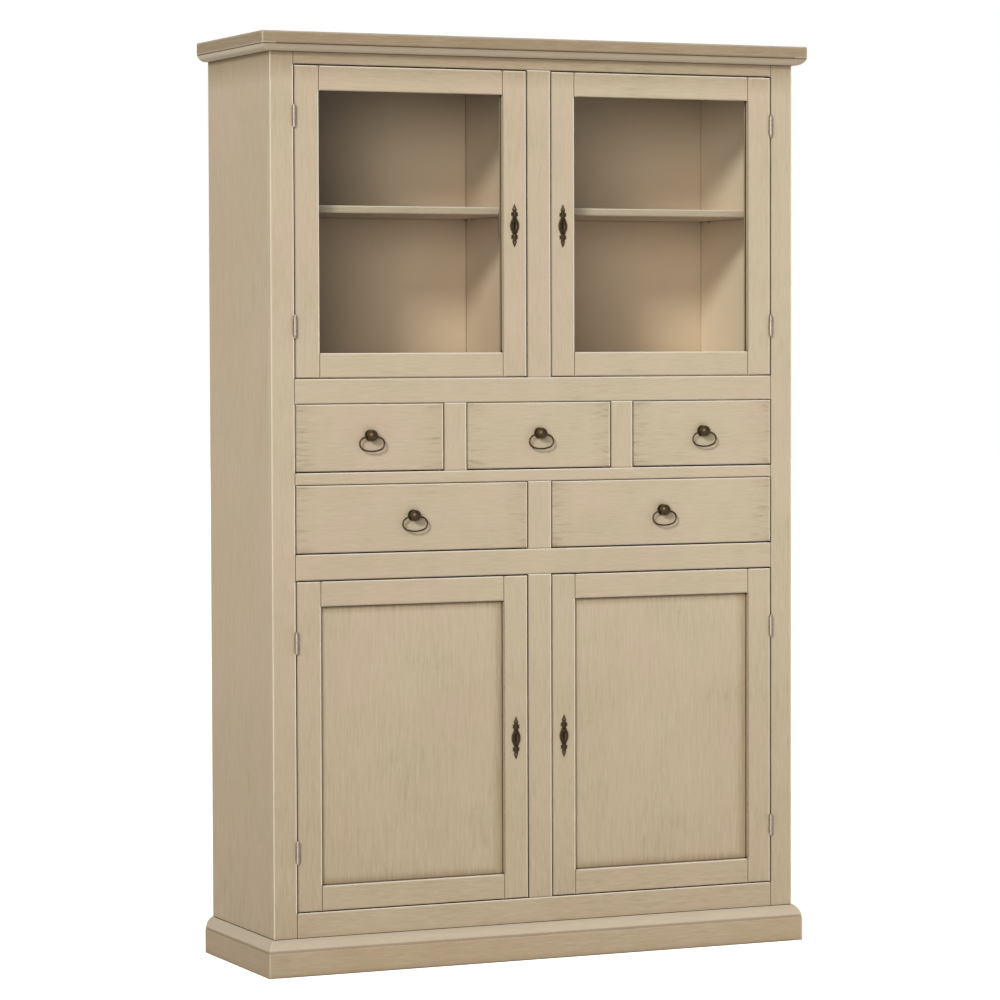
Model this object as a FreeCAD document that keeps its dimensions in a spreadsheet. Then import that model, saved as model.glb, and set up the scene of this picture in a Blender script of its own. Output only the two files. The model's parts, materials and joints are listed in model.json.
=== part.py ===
"""Country pantry cabinet: glazed vitrine above, drawers in the middle, cupboard below.

Millimetres, +Z up. The origin is on the floor under the middle of the cabinet's outer box,
-Y is the front. Every board, moulding, leaf and pull is a solid of its own.
"""
import FreeCAD, Part
import math
import os
import Sketcher

doc = FreeCAD.newDocument("pantry_cabinet")
Vector = FreeCAD.Vector

# ---------------------------------------------------------------- driving dimensions
DIMENSIONS = {
    # carcass
    "body_width": 1230, "body_depth": 378, "total_height": 1980,
    "side_thick": 36, "deck_thick": 20, "low_deck_thick": 18,
    "back_thick": 8, "back_rebate": 10, "back_bottom": 60, "partition_thick": 18,
    # face frame
    "frame_thick": 22, "post_width": 52, "stile_width": 55,
    "divider_width": 52, "divider_centre": 197, "ease": 0.6, "door_ease": 1.2, "top_ease": 2.5,
    # heights of the openings
    "bottom_rail_low": 30, "cupboard_low": 131.5, "cupboard_high": 832.5,
    "low_drawer_low": 887, "low_drawer_high": 1033,
    "top_drawer_low": 1058.5, "top_drawer_high": 1203.5,
    "vitrine_low": 1256, "vitrine_high": 1914,
    # cornice and plinth
    "top_board_thick": 26, "overhang": 26, "cornice_thick": 14, "cornice_inner": 3,
    "cornice_quirk": 1.5, "cornice_round": 20,
    "plinth_height": 78, "plinth_proud": 18, "plinth_flat": 52, "plinth_inner": 3,
    "plinth_quirk": 1.4, "plinth_round": 28,
    # doors
    "door_gap": 2, "door_gap_top": 2.5, "door_stile": 55, "top_door_rail": 52,
    "low_door_rail": 53.25, "glass_lip": 9, "glass_rebate": 9, "glass_thick": 4,
    "glass_play": 0.5, "bead": 8, "panel_setback": 9, "panel_thick": 8, "panel_reach": 8,
    "groove_depth": 9, "groove_play": 0.2, "keyhole_width": 3.6, "keyhole_height": 16,
    # locks and escutcheons
    "top_lock_height": 1581, "low_lock_height": 480, "lock_wide": 50, "lock_tall": 60,
    "lock_thick": 12, "bolt_thick": 6, "bolt_tall": 12, "bolt_long": 36, "bolt_play": 0.3,
    "plate_thick": 2.2, "oval_radius": 11, "oval_shift": 6, "lobe_radius": 8.7,
    "lobe_shift": 24, "neck_width": 8.5, "tip_radius": 5.5, "tip_shift": 36,
    "plate_tall": 92,
    # hinges
    "hinge_tall": 40, "hinge_axis_out": 3.6, "knuckle_radius": 3.5, "hinge_pin_radius": 1.5,
    "hinge_pin_play": 0.05, "leaf_thick": 0.9, "leaf_deep": 18, "middle_knuckle": 17,
    "knuckle_play": 0.3, "hinge_height_1": 1806, "hinge_height_2": 1366,
    "hinge_height_3": 702, "hinge_height_4": 260,
    # drawers
    "drawer_side_gap": 1.5, "drawer_top_gap": 1.2, "drawer_bottom_gap": 2.5,
    "box_side_play": 3, "box_lift": 0.5, "box_tall": 118, "box_deep": 310,
    "box_side_thick": 12, "box_back_thick": 10, "box_bottom_thick": 5, "box_bottom_lift": 8,
    "runner_thick": 20, "end_runner": 50, "divider_runner": 88, "guide_tall": 20,
    "end_guide_play": 1.5, "divider_guide": 52, "middle_guide": 58,
    "stop_long": 20, "stop_tall": 12, "stop_wide": 24,
    # knob and ring
    "knob_lift": 4.5, "rosette_radius": 12, "rosette_thick": 2.8, "collar_radius": 9.4,
    "collar_out": 3.9, "neck_radius": 8.2, "ball_radius": 12, "ball_out": 13.5,
    "stem_radius": 2.5, "stem_long": 28, "stem_play": 0.1, "nut_radius": 5, "nut_thick": 4,
    "ring_wire": 1.75, "ring_hole": 1.85, "ring_out": 11.5, "ring_drop": 4,
    "ring_half": 14.5, "ring_corner": 13.5, "ring_bottom": 55,
    # shelves
    "shelf_thick": 16, "shelf_setback": 60, "shelf_back_play": 2, "shelf_end_play": 0.5,
    "shelf_top": 1622, "low_shelf_top": 488, "pin_radius": 2.5, "pin_play": 0.05,
    "pin_in": 8, "pin_out": 10, "pin_inset": 40,
}

sheet = doc.addObject("Spreadsheet::Sheet", "Dims")
for row, (alias, number) in enumerate(DIMENSIONS.items(), start=1):
    sheet.set(f"A{row}", alias.replace("_", " "))
    sheet.set(f"B{row}", str(number))
    sheet.setAlias(f"B{row}", alias)
doc.recompute()


class Size:
    """A length that knows its value in mm and the spreadsheet formula it comes from."""

    def __init__(self, mm, text):
        self.mm = mm
        self.text = text

    def __add__(self, other):
        other = as_size(other)
        return Size(self.mm + other.mm, f"({self.text} + {other.text})")

    def __sub__(self, other):
        other = as_size(other)
        return Size(self.mm - other.mm, f"({self.text} - {other.text})")

    def __mul__(self, factor):
        return Size(self.mm * factor, f"({self.text} * ({factor}))")

    def __truediv__(self, factor):
        return Size(self.mm / factor, f"({self.text} / {factor})")

    def __neg__(self):
        return Size(-self.mm, f"(-1 * {self.text})")

    __radd__ = __add__
    __rmul__ = __mul__


def as_size(value):
    return value if isinstance(value, Size) else Size(float(value), f"({value})")


def dim(alias):
    return Size(float(DIMENSIONS[alias]), f"Dims.{alias}")


ZERO = as_size(0)
half_width = dim("body_width") / 2
front = (dim("overhang") - dim("body_depth")) / 2
back = front + dim("body_depth")
behind_frame = front + dim("frame_thick")
body_top = dim("total_height") - dim("top_board_thick")
post_inner = half_width - dim("post_width")
side_inner = half_width - dim("side_thick")
half_stile = dim("stile_width") / 2
divider_near = dim("divider_centre") - dim("divider_width") / 2
divider_far = dim("divider_centre") + dim("divider_width") / 2
back_front = back - dim("back_thick")

nodes = {}


# ---------------------------------------------------------------- building helpers
def bind(thing, prop, size):
    thing.setExpression(prop, as_size(size).text)


def place(thing, x, y, z):
    thing.Placement.Base = Vector(as_size(x).mm, as_size(y).mm, as_size(z).mm)
    for axis, size in zip("xyz", (x, y, z)):
        bind(thing, f"Placement.Base.{axis}", size)


def box(name, x_pair, y_pair, z_pair):
    """A box between two faces along each axis; the pairs may come in either order."""
    made = doc.addObject("Part::Box", name)
    lows = []
    for prop, pair in zip(("Length", "Width", "Height"), (x_pair, y_pair, z_pair)):
        low, high = sorted((as_size(end) for end in pair), key=lambda end: end.mm)
        bind(made, prop, high - low)
        lows.append(low)
    place(made, *lows)
    return made


def board(name, x_pair, y_pair, z_pair, ease="ease"):
    """A box whose twelve arrises are eased."""
    radius = dim(ease).mm
    eased = doc.addObject("Part::Fillet", name)
    eased.Base = box(f"{name}_blank", x_pair, y_pair, z_pair)
    doc.recompute()
    eased.Edges = [(edge, radius, radius) for edge in range(1, 13)]
    return eased


def cylinder(name, radius, length, centre, axis):
    """A round bar that starts at the centre given and runs along +X, +Y, -Y or +Z."""
    made = doc.addObject("Part::Cylinder", name)
    bind(made, "Radius", radius)
    bind(made, "Height", length)
    turns = {"x": (Vector(0, 1, 0), 90), "-y": (Vector(1, 0, 0), 90),
             "y": (Vector(1, 0, 0), -90), "z": (Vector(0, 0, 1), 0)}
    made.Placement.Rotation = FreeCAD.Rotation(*turns[axis])
    place(made, *centre)
    return made


def cut(name, base, tools):
    made = doc.addObject("Part::Cut", name)
    made.Base = base
    made.Tool = tools[0] if len(tools) == 1 else group(f"{name}_tools", tools)
    return made


def fuse(name, shapes):
    made = doc.addObject("Part::MultiFuse", name)
    made.Shapes = shapes
    made.Refine = True
    return made


def group(name, members):
    made = doc.addObject("Part::Compound", name)
    made.Links = members
    return made


def node(name, members):
    """Register a finished sub-part, joining several separate solids into one named group."""
    members = members if isinstance(members, list) else [members]
    made = members[0] if len(members) == 1 else group(name, members)
    made.Label = name
    nodes[name] = made
    return made


def arc_between(start, end, radius):
    """Circle arc from start to end; its centre is on the left of the way for radius > 0."""
    middle, way = (start + end) / 2, end - start
    rise = math.sqrt(radius ** 2 - (way.Length / 2) ** 2)
    left = Vector(-way.y, way.x, 0).normalize()
    centre = middle + left * math.copysign(rise, radius)
    first, last = (start, end) if radius > 0 else (end, start)
    angles = [math.atan2(point.y - centre.y, point.x - centre.x) for point in (first, last)]
    return Part.ArcOfCircle(Part.Circle(centre, Vector(0, 0, 1), abs(radius)), *angles)


def outline(body, plane, corners):
    """Closed sketch through (a, b, radius) corners; a radius bends the side that follows."""
    sketch = body.newObject("Sketcher::SketchObject", f"{body.Name}_sketch")
    origin_plane = next(item for item in body.Origin.OriginFeatures if item.Role == plane)
    sketch.AttachmentSupport = (origin_plane, [""])
    sketch.MapMode = "FlatFace"
    points = [Vector(as_size(a).mm, as_size(b).mm, 0) for a, b, _ in corners]
    count = len(corners)
    ends = []
    for index, (_, _, radius) in enumerate(corners):
        start, end = points[index], points[(index + 1) % count]
        if radius is None:
            sketch.addGeometry(Part.LineSegment(start, end))
        else:
            sketch.addGeometry(arc_between(start, end, as_size(radius).mm))
        ends.append((1, 2) if radius is None or as_size(radius).mm > 0 else (2, 1))
    for index in range(count):
        following = (index + 1) % count
        sketch.addConstraint(Sketcher.Constraint(
            "Coincident", index, ends[index][1], following, ends[following][0]))
    for index, (a, b, radius) in enumerate(corners):
        for kind, size in (("DistanceX", as_size(a)), ("DistanceY", as_size(b))):
            number = sketch.addConstraint(Sketcher.Constraint(
                kind, -1, 1, index, ends[index][0], size.mm))
            sketch.renameConstraint(number, f"{kind}_{index}")
            sketch.setExpression(f"Constraints.{kind}_{index}", size.text)
        if radius is not None:
            size = as_size(radius)
            size = size if size.mm > 0 else -size
            number = sketch.addConstraint(Sketcher.Constraint("Radius", index, size.mm))
            sketch.renameConstraint(number, f"Bend_{index}")
            sketch.setExpression(f"Constraints.Bend_{index}", size.text)
    return sketch


def padded(name, plane, corners, length, base):
    """A profile padded to both sides of its plane, with the body moved to its place."""
    body = doc.addObject("PartDesign::Body", name)
    pad = body.newObject("PartDesign::Pad", f"{name}_pad")
    sketch = outline(body, plane, corners)
    pad.Profile = sketch
    pad.SideType = "Symmetric"
    bind(pad, "Length", length)
    body.Tip = pad
    place(body, *base)
    return body


# ---------------------------------------------------------------- carcass
def pin_rows():
    """Shelf pins: (side wall sign, wall face x, direction of the pin, shelf underside)."""
    shelf_under = dim("shelf_top") - dim("shelf_thick")
    low_under = dim("low_shelf_top") - dim("shelf_thick")
    rows = []
    for side in (-1, 1):
        rows.append(("side", side, side_inner * side, -side, shelf_under))
        rows.append(("side", side, side_inner * side, -side, low_under))
        rows.append(("partition", side, dim("partition_thick") / 2 * side, side, shelf_under))
    return rows


def pin_depths():
    first = front + dim("shelf_setback") + dim("pin_inset")
    last = back_front - dim("pin_inset")
    return (first, last)


def pin_bar(name, row, radius, inside, outside):
    _, _, wall, way, shelf_under = row
    start, end = wall - inside * way, wall + outside * way
    low = start if start.mm < end.mm else end
    return [cylinder(f"{name}_{number}", radius, inside + outside,
                     (low, depth, shelf_under - dim("pin_radius")), "x")
            for number, depth in enumerate(pin_depths())]


def make_side_panel(side):
    name = "side_panel_left" if side < 0 else "side_panel_right"
    panel = board(f"{name}_board", (half_width * side, side_inner * side),
                  (behind_frame, back), (ZERO, body_top))
    tools = [box(f"{name}_rebate", (side_inner * side - side, (side_inner + dim("back_rebate")) * side),
                 (back_front, back + 1), (dim("back_bottom"), body_top + 1))]
    play = dim("pin_radius") + dim("pin_play")
    for number, row in enumerate(pin_rows()):
        if row[0] == "side" and row[1] == side:
            tools += pin_bar(f"{name}_hole_{number}", row, play, dim("pin_in"), as_size(1))
    node(name, cut(f"{name}_cut", panel, tools))


def make_partition():
    half = dim("partition_thick") / 2
    blank = board("partition_board", (-half, half), (behind_frame, back_front),
                  (dim("vitrine_low"), body_top))
    play = dim("pin_radius") + dim("pin_play")
    tools = []
    for number, row in enumerate(pin_rows()):
        if row[0] == "partition":
            tools += pin_bar(f"partition_hole_{number}", row, play, dim("pin_in"), as_size(1))
    node("partition", cut("partition_cut", blank, tools))


def make_decks():
    x_pair = (-side_inner, side_inner)
    tops = (("floor_panel", dim("cupboard_low"), dim("deck_thick")),
            ("lower_deck", dim("low_drawer_low"), dim("low_deck_thick")),
            ("upper_deck", dim("vitrine_low"), dim("deck_thick")))
    node("decks", [board(name, x_pair, (behind_frame, back_front), (top - thick, top))
                   for name, top, thick in tops])


def make_shelves():
    half = dim("partition_thick") / 2
    y_pair = (front + dim("shelf_setback"), back_front - dim("shelf_back_play"))
    play = dim("shelf_end_play")
    boards = [board(f"vitrine_shelf_{index}", ((half + play) * side, (side_inner - play) * side),
                    y_pair, (dim("shelf_top") - dim("shelf_thick"), dim("shelf_top")))
              for index, side in enumerate((-1, 1))]
    boards.append(board("cupboard_shelf", (play - side_inner, side_inner - play), y_pair,
                        (dim("low_shelf_top") - dim("shelf_thick"), dim("low_shelf_top"))))
    node("shelves", boards)


def make_shelf_pins():
    pins = []
    for number, row in enumerate(pin_rows()):
        pins += pin_bar(f"shelf_pin_{number}", row, dim("pin_radius"), dim("pin_in"), dim("pin_out"))
    node("shelf_pins", pins)


def make_back_and_top():
    reach = side_inner + dim("back_rebate")
    node("back_panel", board("back_panel_board", (-reach, reach), (back_front, back),
                             (dim("back_bottom"), body_top)))
    overhang = half_width + dim("overhang")
    node("top_board", board("top_board_blank", (-overhang, overhang),
                            (front - dim("overhang"), back),
                            (body_top, dim("total_height")), ease="top_ease"))


# ---------------------------------------------------------------- face frame
def make_face_frame():
    depth = (front, behind_frame)
    node("front_posts", [board(f"post_{index}", (half_width * side, post_inner * side),
                               depth, (ZERO, body_top))
                         for index, side in enumerate((-1, 1))])
    rails = (("bottom_rail", dim("bottom_rail_low"), dim("cupboard_low")),
             ("lower_rail", dim("cupboard_high"), dim("low_drawer_low")),
             ("drawer_rail", dim("low_drawer_high"), dim("top_drawer_low")),
             ("upper_rail", dim("top_drawer_high"), dim("vitrine_low")),
             ("top_rail", dim("vitrine_high"), body_top))
    node("frame_rails", [board(name, (-post_inner, post_inner), depth, (low, high))
                         for name, low, high in rails])
    stiles = (("lower_stile", dim("cupboard_low"), dim("cupboard_high")),
              ("drawer_stile", dim("low_drawer_low"), dim("low_drawer_high")),
              ("upper_stile", dim("vitrine_low"), dim("vitrine_high")))
    node("centre_stiles", [board(name, (-half_stile, half_stile), depth, (low, high))
                           for name, low, high in stiles])
    node("drawer_dividers", [board(f"divider_{index}", (divider_near * side, divider_far * side),
                                   depth, (dim("top_drawer_low"), dim("top_drawer_high")))
                             for index, side in enumerate((-1, 1))])


# ---------------------------------------------------------------- mitred mouldings
def mitre_tool(name, side, keep_front, height):
    """A block whose long face is the mitre plane at a front corner of the body."""
    reach = 80.0
    block = doc.addObject("Part::Box", name)
    block.Length = 2 * reach
    block.Width = reach
    bind(block, "Height", height + 20)
    turn = -45 if side > 0 else 45
    along = Vector(math.cos(math.radians(turn)), math.sin(math.radians(turn)), 0)
    outward = Vector(-along.y, along.x, 0)
    start = along * -reach if keep_front else along * -reach - outward * reach
    block.Placement.Rotation = FreeCAD.Rotation(Vector(0, 0, 1), turn)
    place(block, half_width * side + start.x, front + start.y, ZERO - 10)
    return block


def make_moulding(name, section, proud, height):
    """Three lengths of one section, front and both sides, mitred at the front corners.

    The section is a list of (distance out from the body, height, bend radius or None).
    """
    wide = half_width * 2 + proud * 2
    front_corners = [(-out, level, radius) for out, level, radius in section]
    stick = padded(f"{name}_front_stick", "YZ_Plane", front_corners, wide, (ZERO, front, ZERO))
    tools = [mitre_tool(f"{name}_front_mitre_{index}", side, True, height)
             for index, side in enumerate((-1, 1))]
    pieces = [cut(f"{name}_front", stick, tools)]
    length = dim("body_depth") + proud
    middle = (front - proud + back) / 2
    for index, side in enumerate((-1, 1)):
        corners = [(out * side, level, radius if radius is None else radius * -side)
                   for out, level, radius in section]
        stick = padded(f"{name}_side_stick_{index}", "XZ_Plane", corners, length,
                       (half_width * side, middle, ZERO))
        tool = mitre_tool(f"{name}_side_mitre_{index}", side, False, height)
        pieces.append(cut(f"{name}_side_{index}", stick, [tool]))
    node(name, pieces)


def make_cornice():
    low = body_top - dim("cornice_thick")
    shoulder = dim("overhang") - dim("cornice_quirk")
    section = [(ZERO, low, None),
               (dim("cornice_inner"), low, -dim("cornice_round")),
               (shoulder, body_top - dim("cornice_quirk"), None),
               (shoulder, body_top, None),
               (ZERO, body_top, None)]
    make_moulding("cornice_moulding", section, dim("overhang"), dim("total_height"))


def make_plinth():
    proud, flat, quirk = dim("plinth_proud"), dim("plinth_flat"), dim("plinth_quirk")
    section = [(ZERO, ZERO, None),
               (proud, ZERO, None),
               (proud, flat, None),
               (proud - quirk, flat, None),
               (proud - quirk, flat + quirk, -dim("plinth_round")),
               (dim("plinth_inner"), dim("plinth_height"), None),
               (ZERO, dim("plinth_height"), None)]
    make_moulding("plinth", section, proud, dim("plinth_height"))


# ---------------------------------------------------------------- doors
def door_names(side, upper):
    return f"{'upper' if upper else 'lower'}_{'left' if side < 0 else 'right'}_door"


def make_hinge_leaf(name, side, centre, on_door):
    """One butt-hinge leaf in the door gap, with its knuckles round the pin's line."""
    edge = post_inner - dim("door_gap") if on_door else post_inner
    other = edge + dim("leaf_thick") if on_door else edge - dim("leaf_thick")
    axis_x = (post_inner - dim("door_gap") / 2) * side
    axis_y = front - dim("hinge_axis_out")
    half, middle = dim("hinge_tall") / 2, dim("middle_knuckle") / 2
    x_pair = (edge * side, other * side)
    shapes = [box(f"{name}_plate", x_pair, (front, front + dim("leaf_deep")),
                  (centre - half, centre + half))]
    if on_door:
        spans = [(centre - middle, centre + middle)]
    else:
        spans = [(centre - half, centre - middle - dim("knuckle_play")),
                 (centre + middle + dim("knuckle_play"), centre + half)]
    for number, (low, high) in enumerate(spans):
        shapes.append(box(f"{name}_web_{number}", x_pair, (axis_y, front), (low, high)))
        shapes.append(cylinder(f"{name}_knuckle_{number}", dim("knuckle_radius"), high - low,
                               (axis_x, axis_y, low), "z"))
    if not on_door:
        shapes.append(cylinder(f"{name}_pin", dim("hinge_pin_radius"), half * 2,
                               (axis_x, axis_y, centre - half), "z"))
        return fuse(name, shapes)
    bore = cylinder(f"{name}_bore", dim("hinge_pin_radius") + dim("hinge_pin_play"),
                    middle * 2 + 2, (axis_x, axis_y, centre - middle - 1), "z")
    return cut(name, fuse(f"{name}_solid", shapes), [bore])


def make_door_frame(door, side, upper, z_low, z_high):
    """Two full-height stiles with the rails between them, rebated or grooved inside."""
    outer, inner = (post_inner - dim("door_gap")) * side, (half_stile + dim("door_gap")) * side
    stile = dim("door_stile") * side
    rail = dim("top_door_rail") if upper else dim("low_door_rail")
    depth = (front, behind_frame)
    x_low, x_high = inner + stile, outer - stile
    if upper:
        reach, hollow = dim("glass_rebate"), (front + dim("glass_lip"), behind_frame + 1)
    else:
        reach = dim("groove_depth")
        hollow = (front + dim("panel_setback") - dim("groove_play"),
                  front + dim("panel_setback") + dim("panel_thick") + dim("groove_play"))
    pocket_x = (x_low - reach * side, x_high + reach * side)
    pocket_z = (z_low + rail - reach, z_high - rail + reach)
    blanks = (("hinge_stile", (outer, x_high), (z_low, z_high)),
              ("lock_stile", (inner, x_low), (z_low, z_high)),
              ("bottom_rail", (x_low, x_high), (z_low, z_low + rail)),
              ("top_rail", (x_low, x_high), (z_high - rail, z_high)))
    pieces = []
    lock_x = inner + stile / 2
    lock_z = dim("top_lock_height") if upper else dim("low_lock_height")
    for part, x_pair, z_pair in blanks:
        blank = board(f"{door}_{part}_board", x_pair, depth, z_pair, ease="door_ease")
        tools = [box(f"{door}_{part}_hollow", pocket_x, hollow, pocket_z)]
        if part == "lock_stile":
            tools.append(box(f"{door}_keyhole",
                             (lock_x - dim("keyhole_width") / 2, lock_x + dim("keyhole_width") / 2),
                             (front - 1, behind_frame + 1),
                             (lock_z - dim("keyhole_height") / 2, lock_z + dim("keyhole_height") / 2)))
        pieces.append(cut(f"{door}_{part}", blank, tools))
    if upper:
        pieces += glazing_beads(door, pocket_x, pocket_z)
        play = dim("glass_play")
        node(f"{door}_glass", box(f"{door}_glass_sheet",
                                  (pocket_x[0] + play * side, pocket_x[1] - play * side),
                                  (hollow[0], hollow[0] + dim("glass_thick")),
                                  (pocket_z[0] + play, pocket_z[1] - play)))
    else:
        reach = dim("panel_reach")
        node(f"{door}_panel", board(f"{door}_panel_board",
                                    (x_low - reach * side, x_high + reach * side),
                                    (front + dim("panel_setback"),
                                     front + dim("panel_setback") + dim("panel_thick")),
                                    (z_low + rail - reach, z_high - rail + reach)))
    node(f"{door}_frame", pieces)
    return lock_x, lock_z


def glazing_beads(door, pocket_x, pocket_z):
    """Four slips that hold the glass in its rebate: full-height uprights, cross slips between."""
    x_low, x_high = sorted(pocket_x, key=lambda end: end.mm)
    z_low, z_high = pocket_z
    slip = dim("bead")
    depth = (front + dim("glass_lip") + dim("glass_thick"),
             front + dim("glass_lip") + dim("glass_thick") + slip)
    spans = (((x_low, x_low + slip), (z_low, z_high)), ((x_high - slip, x_high), (z_low, z_high)),
             ((x_low + slip, x_high - slip), (z_low, z_low + slip)),
             ((x_low + slip, x_high - slip), (z_high - slip, z_high)))
    return [board(f"{door}_bead_{number}", x_pair, depth, z_pair)
            for number, (x_pair, z_pair) in enumerate(spans)]


def make_escutcheon(door, x, z):
    """Key plate: an oval between two lobes that end in pointed tips, pierced by the keyhole."""
    thick = dim("plate_thick")
    discs = []
    for way in (-1, 1):
        for part, radius, shift in (("oval", "oval_radius", "oval_shift"),
                                    ("lobe", "lobe_radius", "lobe_shift"),
                                    ("tip", "tip_radius", "tip_shift")):
            discs.append(cylinder(f"{door}_{part}_{way + 1}", dim(radius), thick,
                                  (x, front, z + dim(shift) * way), "-y"))
    half_neck, half_tall = dim("neck_width") / 2, dim("plate_tall") / 2
    spine = box(f"{door}_spine", (x - half_neck, x + half_neck), (front - thick, front),
                (z - half_tall, z + half_tall))
    hole = box(f"{door}_plate_keyhole",
               (x - dim("keyhole_width") / 2, x + dim("keyhole_width") / 2),
               (front - thick - 1, front + 1),
               (z - dim("keyhole_height") / 2, z + dim("keyhole_height") / 2))
    plate = fuse(f"{door}_plate", discs + [spine])
    node(f"{door}_escutcheon", cut(f"{door}_escutcheon_cut", plate, [hole]))


def make_lock(door, side, z):
    """Box lock on the back of the lock stile; its bolt slides out behind the centre stile."""
    edge = (half_stile + dim("door_gap")) * side
    play, case_low = dim("bolt_play"), behind_frame
    case = box(f"{door}_lock_case", (edge, edge + dim("lock_wide") * side),
               (case_low, case_low + dim("lock_thick")),
               (z - dim("lock_tall") / 2, z + dim("lock_tall") / 2))
    bolt_front = case_low + (dim("lock_thick") - dim("bolt_thick")) / 2
    bolt_half = dim("bolt_tall") / 2
    bolt_far = edge + dim("bolt_long") * side
    slot = box(f"{door}_lock_slot", (edge - side, bolt_far + side * 4),
               (bolt_front - play, bolt_front + dim("bolt_thick") + play),
               (z - bolt_half - play, z + bolt_half + play))
    node(f"{door}_lock_case", cut(f"{door}_lock_cut", case, [slot]))
    node(f"{door}_lock_bolt", box(f"{door}_bolt", (edge + play * side, bolt_far),
                                  (bolt_front, bolt_front + dim("bolt_thick")),
                                  (z - bolt_half, z + bolt_half)))


def make_door(side, upper):
    door = door_names(side, upper)
    low, high = ("vitrine_low", "vitrine_high") if upper else ("cupboard_low", "cupboard_high")
    z_low, z_high = dim(low) + dim("door_gap"), dim(high) - dim("door_gap_top")
    lock_x, lock_z = make_door_frame(door, side, upper, z_low, z_high)
    make_escutcheon(door, lock_x, lock_z)
    make_lock(door, side, lock_z)
    node(f"{door}_hinge_leaves", [
        make_hinge_leaf(f"{door}_leaf_{number}", side, dim(f"hinge_height_{number}"), True)
        for number in hinge_numbers(upper)])


def hinge_numbers(upper):
    return (1, 2) if upper else (3, 4)


def make_frame_hinge_leaves():
    leaves = []
    for side in (-1, 1):
        for number in (1, 2, 3, 4):
            leaves.append(make_hinge_leaf(f"frame_leaf_{side + 1}_{number}", side,
                                          dim(f"hinge_height_{number}"), False))
    node("frame_hinge_leaves", leaves)


# ---------------------------------------------------------------- drawers
DRAWERS = {
    "top_left_drawer": (-post_inner, -divider_far, "top"),
    "top_middle_drawer": (-divider_near, divider_near, "top"),
    "top_right_drawer": (divider_far, post_inner, "top"),
    "low_left_drawer": (-post_inner, -half_stile, "low"),
    "low_right_drawer": (half_stile, post_inner, "low"),
}


def drawer_levels(row):
    return dim(f"{row}_drawer_low"), dim(f"{row}_drawer_high")


def make_drawer(name, x_low, x_high, row):
    z_low, z_high = drawer_levels(row)
    gap = dim("drawer_side_gap")
    face_z = (z_low + dim("drawer_bottom_gap"), z_high - dim("drawer_top_gap"))
    middle = (x_low + x_high) / 2
    knob_z = (face_z[0] + face_z[1]) / 2 + dim("knob_lift")
    face = board(f"{name}_face", (x_low + gap, x_high - gap), (front, behind_frame), face_z,
                 ease="door_ease")
    hole = cylinder(f"{name}_stem_hole", dim("stem_radius") + dim("stem_play"),
                    dim("frame_thick") + 2, (middle, front - 1, knob_z), "y")
    node(f"{name}_front", cut(f"{name}_front_cut", face, [hole]))
    make_drawer_box(name, x_low + dim("box_side_play"), x_high - dim("box_side_play"),
                    z_low + dim("box_lift"))
    make_knob(name, middle, knob_z)
    make_ring(name, middle, knob_z)


def make_drawer_box(name, x_low, x_high, z_low):
    z_high, far = z_low + dim("box_tall"), behind_frame + dim("box_deep")
    side = dim("box_side_thick")
    inner = (x_low + side, x_high - side)
    bottom = z_low + dim("box_bottom_lift")
    node(f"{name}_box", [
        board(f"{name}_side_0", (x_low, inner[0]), (behind_frame, far), (z_low, z_high)),
        board(f"{name}_side_1", (inner[1], x_high), (behind_frame, far), (z_low, z_high)),
        board(f"{name}_back", inner, (far - dim("box_back_thick"), far), (z_low, z_high)),
        board(f"{name}_bottom", inner, (behind_frame, far - dim("box_back_thick")),
              (bottom, bottom + dim("box_bottom_thick")))])


def make_knob(name, x, z):
    """Turned rosette, collar and ball in one piece with its stem, and the nut inside."""
    body = doc.addObject("PartDesign::Body", f"{name}_knob_turned")
    ball_start = math.sqrt(dim("ball_radius").mm ** 2 - dim("neck_radius").mm ** 2)
    neck_out = dim("ball_out") - ball_start
    corners = [(ZERO, dim("stem_long"), None),
               (dim("stem_radius"), dim("stem_long"), None),
               (dim("stem_radius"), ZERO, None),
               (dim("rosette_radius"), ZERO, None),
               (dim("rosette_radius"), -dim("rosette_thick") / 2, None),
               (dim("rosette_radius") - 1, -dim("rosette_thick"), None),
               (dim("collar_radius"), -dim("rosette_thick"), None),
               (dim("collar_radius"), -dim("collar_out"), None),
               (dim("neck_radius"), -dim("collar_out"), None),
               (dim("neck_radius"), -neck_out, -dim("ball_radius")),
               (ZERO, -dim("ball_out") - dim("ball_radius"), None)]
    sketch = outline(body, "XY_Plane", corners)
    turned = body.newObject("PartDesign::Revolution", f"{name}_turned")
    turned.Profile = sketch
    turned.ReferenceAxis = (sketch, ["V_Axis"])
    turned.Angle = 360
    body.Tip = turned
    place(body, x, front, z)
    hole = cylinder(f"{name}_ring_hole", dim("ring_hole"), dim("ball_radius") * 2 + 4,
                    (x - dim("ball_radius") - 2, front - dim("ring_out"), z - dim("ring_drop")),
                    "x")
    knob = cut(f"{name}_knob_body", body, [hole])
    nut = doc.addObject("Part::Prism", f"{name}_nut_blank")
    nut.Polygon = 6
    bind(nut, "Circumradius", dim("nut_radius"))
    bind(nut, "Height", dim("nut_thick"))
    nut.Placement.Rotation = FreeCAD.Rotation(Vector(1, 0, 0), -90)
    place(nut, x, behind_frame, z)
    bore = cylinder(f"{name}_nut_bore", dim("stem_radius") + dim("stem_play"),
                    dim("nut_thick") + 2, (x, behind_frame - 1, z), "y")
    node(f"{name}_knob", [knob, cut(f"{name}_nut", nut, [bore])])


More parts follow.
